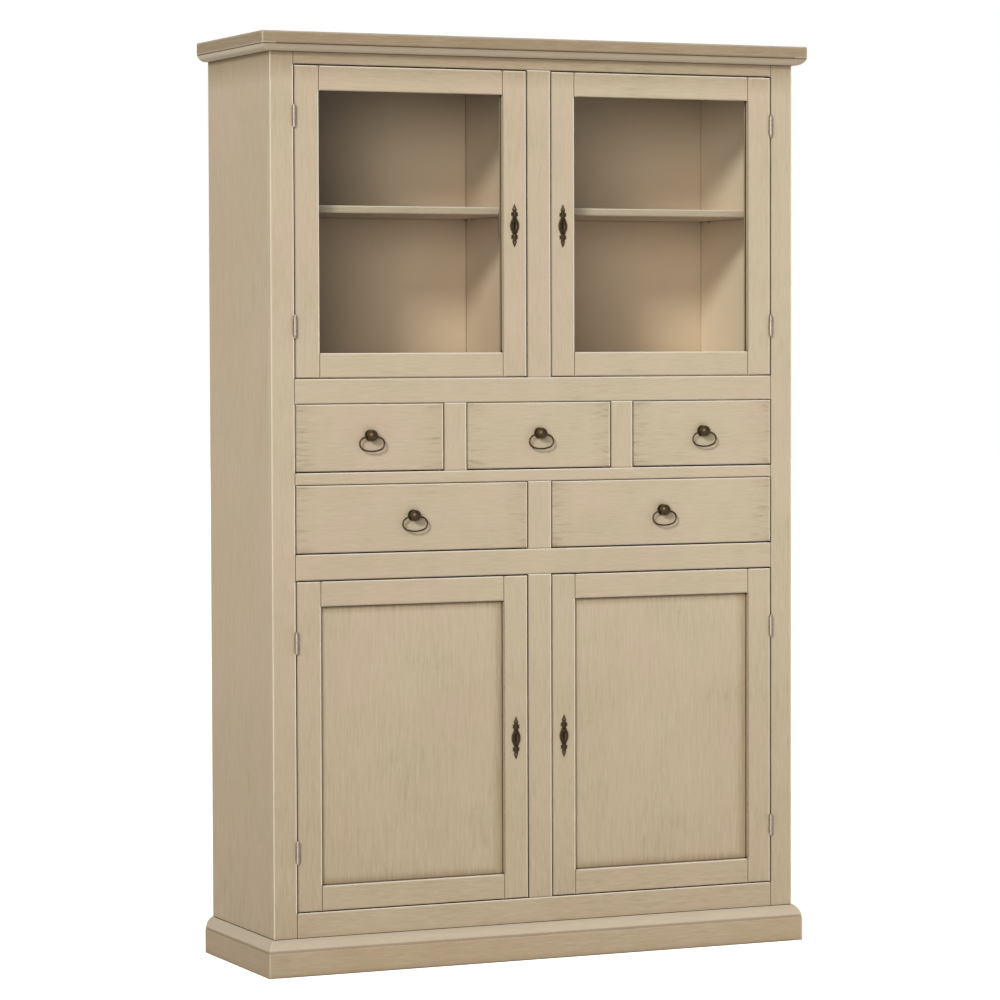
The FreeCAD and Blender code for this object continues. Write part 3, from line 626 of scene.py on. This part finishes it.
print("inside from", round(INSIDE_FRONT, 4), "to", round(INSIDE_BACK, 4))

# %% [markdown]
# The coats go on in the painter's order: cream, glaze and painted shade, then the painted shade
# of the gaps, then the painted highlights and shade on the arrises, and last what only that kind
# of board has. The film is a dull satin, and in the painted shade of a gap it has no gloss at
# all.


# %% All the coats, in the order in which they are laid on
BRUSH_RELIEF = 0.5 * MM
SATIN, STREAKED, GLOSS = 0.46, 0.16, 0.30


def paint(name, grain, board=None, kind="plain", tone=CREAM, rub=1.0):
    """The antique paint; board names a node whose edges gather glaze and painted shade in the way
    of its kind.
    """
    work = Paint(name, grain, kind, tone)
    brush_glaze_and_shade(work, board)
    gap_shade_and_seams = shade_gaps_and_seams(work, board)
    rub_arrises(work, gap_shade_and_seams, rub)
    if kind == "plinth":
        finish_plinth(work)
    if kind == "cornice":
        finish_cornice(work)
    if kind in ("front", "carcass"):
        line_the_foot(work)
    if kind == "carcass":
        finish_inside(work)
    bump = work.add("ShaderNodeBump", {}, Strength=0.30, Distance=BRUSH_RELIEF,
                    Height=work.streaks * 0.6 + work.bristles * 0.4)
    satin = work.add("ShaderNodeBsdfPrincipled", {}, Base_Color=work.colour,
                     Roughness=SATIN + work.streaks * STREAKED, Normal=bump)
    satin.socket.node.inputs["Specular IOR Level"].default_value = GLOSS
    # where the gaps get painted shade, the surface is a flat dark diffuse with no gloss
    dull = work.add("ShaderNodeBsdfDiffuse", {}, DARK_GROUND_AND_SHADE)
    return work.surface(work.add("ShaderNodeMixShader", {}, gap_shade_and_seams, satin, dull))


print("roughness of the film from", SATIN, "to", SATIN + STREAKED)

# %% [markdown]
# ## The other finishes
# The key plates, knobs and rings are cast in bronze and blackened, then rubbed so that the high
# spots shine. The hinges are pale nickel, the locks dull zinc, the drawer boxes bare pine, and
# the glass is ordinary float glass with a faint green tint.

# %% Bronze, nickel, zinc, glass and pine
BLACKENED, BARE_BRONZE = (0.016, 0.010, 0.006, 1), (0.135, 0.094, 0.052, 1)
TARNISH = (0.050, 0.035, 0.018, 1)
EARLY_WOOD, LATE_WOOD, PORES = (0.62, 0.43, 0.24, 1), (0.44, 0.25, 0.11, 1), (0.36, 0.20, 0.09, 1)
CLEAR, MIRROR_STRAIGHT, MIRROR_SLANT = (0.965, 0.972, 0.962, 1), 0.035, 0.90


def bronze(name):
    """Blackened in the hollows, rubbed bare on the high spots, with a fine pitted skin."""
    finish = Finish(name)
    tarnish = finish.noise(finish.place(), 420.0, 4.0, 0.6)
    spots = finish.noise(finish.place(), 1600.0, 2.0, 0.5)
    rubbed = openness(finish, 3.5 * MM).above(0.86, 0.25) * (0.35 + tarnish)
    colour = finish.mix(rubbed.clamp(), BLACKENED, BARE_BRONZE)
    colour = finish.mix(spots.above(0.62, 0.1) * 0.5, colour, TARNISH)
    bump = finish.add("ShaderNodeBump", {}, Strength=0.3, Distance=0.2 * MM, Height=tarnish)
    shader = finish.add("ShaderNodeBsdfPrincipled", {}, Base_Color=colour, Metallic=0.85,
                        Roughness=0.34 + tarnish * 0.22, Normal=bump)
    return finish.surface(shader)


def plain_metal(name, colour, dark, roughness):
    """Drawn or plated metal: fine upright scratches and a few dull patches."""
    finish = Finish(name)
    x, y, z = finish.axes()
    lines = finish.noise(finish.vector(x * 900.0, y * 900.0, z * 5000.0), 1.0, 2.0, 0.6)
    dull = finish.noise(finish.place(), 260.0, 3.0, 0.6)
    tone = finish.mix((dull.above(0.55, 0.3) * 0.6 + lines * 0.2).clamp(), colour, dark)
    bump = finish.add("ShaderNodeBump", {}, Strength=0.2, Distance=0.1 * MM, Height=lines)
    shader = finish.add("ShaderNodeBsdfPrincipled", {}, Base_Color=tone, Metallic=1.0,
                        Roughness=roughness + dull * 0.2, Normal=bump)
    return finish.surface(shader)


def float_glass(name):
    """A thin clear pane: a little is mirrored, more at a slant, and the rest goes through."""
    finish = Finish(name)
    slant = finish.add("ShaderNodeLayerWeight", {}, 0.5, out=1)
    mirrored = slant ** 5 * MIRROR_SLANT + MIRROR_STRAIGHT
    clear = finish.add("ShaderNodeBsdfTransparent", {}, CLEAR)
    shine = finish.add("ShaderNodeBsdfAnisotropic", {}, Color=WHITE, Roughness=0.02)
    return finish.surface(finish.add("ShaderNodeMixShader", {}, mirrored, clear, shine))


def pine(name, grain):
    """Planed, unpainted pine: early and late wood in long wavering bands, and a few pores."""
    finish = Finish(name)
    axes = along, across, depth = grain_space(finish, grain)
    waver = drawn_out(finish, axes, 2.0, 9.0, 3.0, 0.5)
    rings = ((across * 95.0 + depth * 40.0 + waver * 9.0).math("SINE") * 0.5 + 0.5) ** 1.6
    fibres = drawn_out(finish, axes, 14.0, 900.0, 3.0, 0.6)
    colour = finish.mix(rings * 0.75, EARLY_WOOD, LATE_WOOD)
    colour = finish.mix(fibres.above(0.6, 0.3) * 0.35, colour, PORES)
    bump = finish.add("ShaderNodeBump", {}, Strength=0.25, Distance=0.4 * MM, Height=fibres)
    shader = finish.add("ShaderNodeBsdfPrincipled", {}, Base_Color=colour,
                        Roughness=0.52 + fibres * 0.15, Normal=bump)
    return finish.surface(shader)


BRONZE = bronze("blackened_bronze")
NICKEL = plain_metal("pale_nickel", (0.80, 0.71, 0.64, 1), (0.42, 0.35, 0.29, 1), 0.40)
BRASS = plain_metal("worn_brass", (0.72, 0.56, 0.36, 1), (0.40, 0.28, 0.15, 1), 0.30)
ZINC = plain_metal("dull_zinc", (0.40, 0.39, 0.37, 1), (0.24, 0.23, 0.22, 1), 0.36)
GLASS = float_glass("float_glass")
PINE = {grain: pine(f"bare_pine_{grain}", grain) for grain in ("level", "mitred")}
print("metals, glass and wood", 5 + len(PINE))

# %% [markdown]
# Each board gets the finish of its kind. Posts, stiles and panels stand upright, rails and
# shelves lie level, a door frame has both, and the mouldings turn the corner with their grain.

# %% Mix the paints and dress the boards
UPRIGHT = ("front_posts", "centre_stiles", "drawer_dividers", "back_panel", "partition")
INNER = ("back_panel", "partition", "decks", "shelves")
node_slots = {part["node"]: part["material_slot"] for part in frame["record"]["subparts"]}
METALS = {"clear_glass": GLASS, "antique_bronze": BRONZE, "nickel": NICKEL, "lock_iron": ZINC}
mixed = {}


def painted(name, *recipe, **more):
    """The paint of that name, mixed the first time it is asked for."""
    if name not in mixed:
        mixed[name] = paint(name, *recipe, **more)
    return mixed[name]


def finish_for(node):
    """The finish of a board: by its material first, then by the kind of board that it is."""
    slot = node_slots[node]
    if slot in METALS:
        return METALS[slot]
    if slot == "bare_pine":
        return PINE["mitred" if node == "drawer_runners" else "level"]
    if node.endswith("_door_frame"):
        return painted("door_paint", "door")
    if node.endswith("_door_panel"):
        return painted(f"{node}_paint", "upright", node, "panel")
    if node.endswith("_front"):
        return painted(f"{node}_paint", "level", node, "drawer")
    if node == "top_board":
        return painted("top_board_paint", "mitred", tone=TOP_TONE, rub=0.6)
    if node == "cornice_moulding":
        return painted("cornice_paint", "mitred", None, "cornice", CORNICE_TONE, rub=0.3)
    if node == "plinth":
        return painted("plinth_paint", "mitred", None, "plinth", PLINTH_TONE, rub=0.3)
    if node.startswith("side_panel"):
        return painted("side_paint", "upright", None, "carcass", SIDE_TONE)
    grain = "upright" if any(word in node for word in UPRIGHT) else "level"
    if any(word in node for word in INNER):
        return painted(f"carcass_paint_{grain}", grain, None, "carcass")
    return painted(f"front_paint_{grain}", grain, None, "front")


for name, board in nodes.items():
    board.data.materials.clear()
    board.data.materials.append(finish_for(name))
print("dressed", len(nodes), "pieces with", len(mixed), "mixes of paint")

# %% [markdown]
# ## Pieces modelled one by one
# What a foundry or a turner made has no flat boards in it, so it is built here from rounded
# lumps and turned outlines. Every piece starts from a primitive at its own size and place and
# ends with its place in its mesh. These helpers do the steps that each piece repeats.


# %% Helpers for the small pieces
def pick(*pieces):
    """Select just these objects; the last one is the active one."""
    if bpy.context.object and bpy.context.object.mode != "OBJECT":
        bpy.ops.object.mode_set(mode="OBJECT")
    bpy.ops.object.select_all(action="DESELECT")
    for piece in pieces:
        piece.select_set(True)
        bpy.context.view_layer.objects.active = piece


def settle(piece, name):
    """Name a piece and put its place, turn and size into its mesh."""
    pick(piece)
    bpy.ops.object.transform_apply(location=True, rotation=True, scale=True)
    piece.name = piece.data.name = name
    return piece


def joined(parts, name):
    for part in parts:
        settle(part, part.name)
    pick(*parts)
    bpy.ops.object.join()
    return settle(bpy.context.object, name)


def finish_with(piece, kind, **settings):
    """Add a modifier and apply it at once."""
    pick(piece)
    modifier = piece.modifiers.new(kind.lower(), kind)
    for key, value in settings.items():
        setattr(modifier, key, value)
    bpy.ops.object.modifier_apply(modifier=modifier.name)


def carve(piece, tool):
    """Cut one closed piece out of another and throw the tool away."""
    finish_with(piece, "BOOLEAN", object=tool, operation="DIFFERENCE", solver="EXACT")
    bpy.data.objects.remove(tool)


def copied(piece, name, shift):
    pick(piece)
    bpy.ops.object.duplicate()
    bpy.ops.transform.translate(value=shift)
    return settle(bpy.context.object, name)


def mount(piece, body, material):
    piece.data.materials.clear()
    piece.data.materials.append(material)
    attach(piece, body)


print("helpers ready for", len(DOORS), "key plates and", len(DRAWERS), "knobs")


# %% [markdown]
# ## Cast key plates
# The plate on each door is a small baroque casting: an oval boss with a corded rim and a dish
# for the key, and above and below it a fan of leaves that ends in a pointed bud. A founder
# would press the pattern together from wax, and the same works here: flattened balls and beads
# are laid side by side, a voxel remesh melts them into one skin, and a cut gives the flat back.
# Once the dish and the keyhole are cut, a second remesh closes the seams that the cuts left.

# %% Lumps of the wax pattern
first_door = DOORS[0]
plate_centre = centre_of(f"{first_door}_escutcheon")
plate_centre.y = FRONT


def on_plate(x, out, z):
    """A place on the plate, in millimetres from its middle; out is towards the room."""
    return plate_centre + Vector((x, -out, z)) * MM


def lump(x, out, z, size, lean=0.0):
    """A squashed ball, size in millimetres across, out and along; lean turns it, in degrees."""
    bpy.ops.mesh.primitive_uv_sphere_add(
        segments=24, ring_count=14, radius=MM, location=on_plate(x, out, z),
        rotation=(0, math.radians(lean), 0), scale=size)
    return bpy.context.object


RIM_BEADS, RIM_HALF_WIDTH, RIM_HALF_HEIGHT = 34, 8.6, 14.4
FAN_CENTRE, FAN_SPREAD = 24, 0.86
LEAF_LEANS = (28, 66, 104, 140)
LEAF_REACH = (5.6, 6.2, 6.0, 4.6)
NAIL_HEIGHT = 35.6
wax = [lump(0, 0, 0, (9.8, 2.7, 15.6)), lump(0, 0, 0, (10.9, 1.4, 16.6))]
for number in range(RIM_BEADS):
    turn = number / RIM_BEADS * math.tau
    wax.append(lump(RIM_HALF_WIDTH * math.sin(turn), 2.0, RIM_HALF_HEIGHT * math.cos(turn),
                    (1.15, 1.25, 1.45)))
for way in (1, -1):
    wax += [lump(0, 0, 18.2 * way, (4.7, 1.9, 3.2)),
            lump(0, 0, FAN_CENTRE * way, (5.2, 2.4, 6.4)),
            lump(0, 0, 30.6 * way, (3.6, 1.8, 2.6)), lump(0, 0, 35.2 * way, (5.1, 1.9, 4.6)),
            lump(0, 0, 39.4 * way, (3.4, 1.6, 4.4)), lump(0, 0, 43.2 * way, (1.5, 1.1, 3.4)),
            lump(0, 1.5, 24.5 * way, (1.1, 1.8, 6.2)), lump(0, 1.0, 37.0 * way, (0.9, 1.5, 6.0)),
            lump(0, 1.6, 18.2 * way, (2.6, 1.3, 1.3))]
    for side in (-1, 1):
        for lean, reach in zip(LEAF_LEANS, LEAF_REACH):
            bearing = math.radians(lean)
            across, up = math.sin(bearing) * side, math.cos(bearing) * way
            x = across * reach * FAN_SPREAD
            z = FAN_CENTRE * way + up * reach * FAN_SPREAD
            slope = math.degrees(math.atan2(across, up))
            wax.append(lump(x, 0.3, z, (1.75, 1.7, 3.7), slope))
            wax.append(lump(x * 0.86, 1.7, z - up * 0.5, (0.5, 0.9, 2.7), slope))
        wax.append(lump(3.4 * side, 0.4, 33.4 * way, (1.3, 1.4, 2.6), 40 * side * way))
        wax.append(lump(4.6 * side, 0.4, 14.8 * way, (1.5, 1.6, 3.4), -32 * side * way))
print("lumps in the wax", len(wax))

# %% Melt the wax, flatten its back and cut the dish and the keyhole
VOXEL = 0.34 * MM
plate = joined(wax, "key_plate_pattern")
finish_with(plate, "REMESH", mode="VOXEL", voxel_size=VOXEL)
finish_with(plate, "SMOOTH", factor=0.4, iterations=2)
pick(plate)
bpy.ops.object.mode_set(mode="EDIT")
bpy.ops.mesh.select_all(action="SELECT")
bpy.ops.mesh.bisect(plane_co=plate_centre, plane_no=(0, 1, 0), use_fill=True, clear_outer=True)
bpy.ops.object.mode_set(mode="OBJECT")
carve(plate, settle(lump(0, 3.4, 0, (4.7, 2.4, 10.8)), "dish_cutter"))
bpy.ops.mesh.primitive_cube_add(size=MM, location=on_plate(0, 0, 0), scale=(3.6, 12, 16))
keyhole = settle(bpy.context.object, "keyhole_cutter")
finish_with(keyhole, "BEVEL", width=1.2 * MM, segments=3, limit_method="ANGLE")
carve(plate, keyhole)
finish_with(plate, "REMESH", mode="VOXEL", voxel_size=VOXEL)
finish_with(plate, "DECIMATE", ratio=0.45)
pick(plate)
bpy.ops.object.shade_smooth_by_angle(angle=math.radians(50))
print("key plate faces", len(plate.data.polygons))

# %% One plate and two nails for each door
bpy.ops.mesh.primitive_uv_sphere_add(segments=20, ring_count=10, radius=1.35 * MM,
                                     location=on_plate(0, 1.9, NAIL_HEIGHT),
                                     scale=(1, 0.75, 1))
nail = settle(bpy.context.object, "nail_pattern")
for door in DOORS:
    shift = centre_of(f"{door}_escutcheon") - plate_centre
    shift.y = 0
    casting = copied(plate, f"{door}_key_plate", shift)
    mount(casting, door, BRONZE)
    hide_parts(f"{door}_escutcheon")
    nails = joined([copied(nail, "upper_nail", shift),
                    copied(nail, "lower_nail", shift - Vector((0, 0, 2 * NAIL_HEIGHT * MM)))],
                   f"{door}_plate_nails")
    pick(nails)
    bpy.ops.object.shade_smooth()
    mount(nails, door, BRASS)
for pattern in (plate, nail):
    bpy.data.objects.remove(pattern)
print("key plates hung")

# %% [markdown]
# ## Turned knobs
# Each drawer has one knob: a rosette with a beaded edge, a collar and a ball that the drop ring
# runs through, with a threaded stem and a nut behind the front. A turner works from an outline,
# and so does the spin tool: a chain of points is drawn from the stem's end to the top of the
# ball, one extrude at a time, and swept round the axis. The ring's hole is bored afterwards.

# %% A turned piece from its outline
AXES = {"y": Vector((0, -1, 0)), "z": Vector((0, 0, 1)), "-z": Vector((0, 0, -1))}


def turned(name, outline, foot, axis, steps=40):
    """Sweep (radius, height) points, in millimetres, round an axis that starts at the foot."""
    across, along = Vector((1, 0, 0)), AXES[axis]
    places = [foot + (across * radius + along * height) * MM for radius, height in outline]
    pick()
    bpy.ops.mesh.primitive_plane_add(size=0.1 * MM, location=places[0])
    bpy.ops.object.mode_set(mode="EDIT")
    bpy.ops.mesh.merge(type="CENTER")
    for here, there in zip(places, places[1:]):
        bpy.ops.mesh.extrude_region_move(TRANSFORM_OT_translate={"value": there - here})
    bpy.ops.mesh.select_all(action="SELECT")
    bpy.ops.mesh.spin(steps=steps, angle=math.tau, center=foot, axis=along)
    bpy.ops.mesh.select_all(action="SELECT")
    bpy.ops.mesh.remove_doubles(threshold=0.02 * MM)
    bpy.ops.mesh.normals_make_consistent(inside=False)
    bpy.ops.object.mode_set(mode="OBJECT")
    return settle(bpy.context.object, name)


print("pieces can be turned about", list(AXES))

# %% Turn one knob and bore it
BALL_RADIUS, BALL_OUT = 12.0, 13.5
NECK_TURN, TOP_TURN, BALL_STEP = 43, 176, 6
RING_OUT, RING_DROP, DRILL_RADIUS = 11.5, 4.0, 1.9
BEADS, BEAD_RADIUS, BEAD_CIRCLE, BEAD_OUT = 26, 1.15, 10.7, 1.8
NUT_SEAT, NUT_THICKNESS = 22, 4
knob_foot = centre_of(f"{DRAWERS[0]}_knob")
knob_foot.y = FRONT
ball = [(BALL_RADIUS * math.sin(math.radians(turn)),
         BALL_OUT - BALL_RADIUS * math.cos(math.radians(turn)))
        for turn in range(NECK_TURN, TOP_TURN, BALL_STEP)]
outline = [(0, -28), (2.2, -28), (2.5, -27.6), (2.5, 0.05), (12, 0.05), (12, 1.0), (11.5, 1.7),
           (9.9, 2.0), (9.6, 2.9), (8.6, 3.1), (8.2, 3.5), (8.9, 4.0), (8.6, 4.5)] + ball[1:]
knob = turned("knob_pattern", outline + [(0, BALL_OUT + BALL_RADIUS)], knob_foot, "y", 48)
ring_line = knob_foot + Vector((0, -RING_OUT, -RING_DROP)) * MM
bpy.ops.mesh.primitive_cylinder_add(vertices=24, radius=DRILL_RADIUS * MM, depth=40 * MM,
                                    location=ring_line, rotation=(0, math.radians(90), 0))
carve(knob, settle(bpy.context.object, "ring_drill"))
parts = [knob]
for number in range(BEADS):
    turn = number / BEADS * math.tau
    place = Vector((BEAD_CIRCLE * math.sin(turn), -BEAD_OUT, BEAD_CIRCLE * math.cos(turn)))
    bpy.ops.mesh.primitive_uv_sphere_add(segments=10, ring_count=6, radius=BEAD_RADIUS * MM,
                                         location=knob_foot + place * MM)
    parts.append(bpy.context.object)
bpy.ops.mesh.primitive_cylinder_add(
    vertices=6, radius=5 * MM, depth=NUT_THICKNESS * MM, rotation=(math.radians(90), 0, 0),
    location=knob_foot + Vector((0, NUT_SEAT + NUT_THICKNESS / 2, 0)) * MM)
nut = settle(bpy.context.object, "nut")
finish_with(nut, "BEVEL", width=0.5 * MM, segments=2)
parts.append(nut)
knob = joined(parts, "knob_pattern")
pick(knob)
bpy.ops.object.shade_smooth_by_angle(angle=math.radians(38))
print("knob faces", len(knob.data.polygons))

# %% One knob for each drawer
for drawer in DRAWERS:
    shift = centre_of(f"{drawer}_knob") - knob_foot
    shift.y = 0
    turning = copied(knob, f"{drawer}_turned_knob", shift)
    mount(turning, drawer, BRONZE)
    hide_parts(f"{drawer}_knob")
bpy.data.objects.remove(knob)
print("knobs fitted", len(DRAWERS))

# %% [markdown]
# ## Hinge tips, lock screws and back screws
# A loose-pin hinge shows a small turned tip at both ends of its pin. Each lock is held by four
# slotted screws, and the back panel by a row of them along its edges, so one screw is made
# with a turned head and a sawn slot, and every other one is a copy of it.

# %% Tips for the hinge pins
TIP = [(0, -1.0), (3.3, -1.0), (3.3, 0.4), (2.3, 0.8), (1.9, 1.3), (2.5, 2.0), (2.7, 2.8),
       (2.3, 3.7), (1.2, 4.3), (0, 4.5)]
KNUCKLE, PIN_HALF = 3.5 * MM, 20 * MM


def hinge_centres(door):
    """The middle of each hinge pin of a door, from the knuckles on its own leaves."""
    low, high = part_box(f"{door}_hinge_leaves")
    line = Vector(((low.x + high.x) / 2, low.y + KNUCKLE, 0))
    return [Vector((line.x, line.y, low.z + PIN_HALF)),
            Vector((line.x, line.y, high.z - PIN_HALF))]


tips = []
for door in DOORS:
    for centre in hinge_centres(door):
        for way, axis in ((1, "z"), (-1, "-z")):
            foot = centre + Vector((0, 0, PIN_HALF * way))
            tips.append(turned("hinge_tip", TIP, foot, axis, 20))
tips = joined(tips, "hinge_pin_tips")
pick(tips)
bpy.ops.object.shade_smooth_by_angle(angle=math.radians(40))
mount(tips, "carcass", NICKEL)
print("hinge tips at", [round(centre.z, 3) for centre in hinge_centres(DOORS[0])])

# %% One slotted screw and its copies
SCREW = [(0, -4), (1.5, -4), (1.5, 0.02), (3.4, 0.02), (3.4, 0.35), (2.9, 0.95), (1.7, 1.35),
         (0, 1.45)]
LOCK_INSET, TURN_STEP = 6 * MM, 37
screw = turned("screw_pattern", SCREW, Vector((0, 0, 0)), "y", 20)
bpy.ops.mesh.primitive_cube_add(size=MM, location=(0, -1.4 * MM, 0), scale=(8, 1.5, 0.8))
carve(screw, settle(bpy.context.object, "slot_saw"))
pick(screw)
bpy.ops.object.shade_smooth_by_angle(angle=math.radians(35))
bpy.ops.transform.rotate(value=math.pi, orient_axis="Z", center_override=(0, 0, 0))
settle(screw, "screw_pattern")


def screws_at(name, places, body, material):
    """Copies of the screw at some places, each with its slot turned another way."""
    placed = [copied(screw, "screw", place) for place in places]
    for index, one in enumerate(placed):
        pick(one)
        bpy.ops.transform.rotate(value=math.radians(TURN_STEP * index % 180), orient_axis="Y",
                                 center_override=places[index])
    mount(joined(placed, name), body, material)


for door in DOORS:
    low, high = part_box(f"{door}_lock_case")
    screws_at(f"{door}_lock_screws",
              [Vector((x, high.y, z)) for x in (low.x + LOCK_INSET, high.x - LOCK_INSET)
               for z in (low.z + LOCK_INSET, high.z - LOCK_INSET)], door, ZINC)
low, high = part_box("back_panel")
EDGE, UP_EACH_SIDE, BAYS = 9 * MM, 9, 6
rise, run = high.z - low.z - 2 * EDGE, high.x - low.x - 2 * EDGE
sides = [Vector((x, high.y, low.z + EDGE + rise * number / (UP_EACH_SIDE - 1)))
         for x in (low.x + EDGE, high.x - EDGE) for number in range(UP_EACH_SIDE)]
ends = [Vector((low.x + EDGE + run * number / BAYS, high.y, z))
        for z in (low.z + EDGE, high.z - EDGE) for number in range(1, BAYS)]
screws_at("back_panel_screws", sides + ends, "carcass", ZINC)
bpy.data.objects.remove(screw)
print("back screws", len(sides + ends))

# %% [markdown]
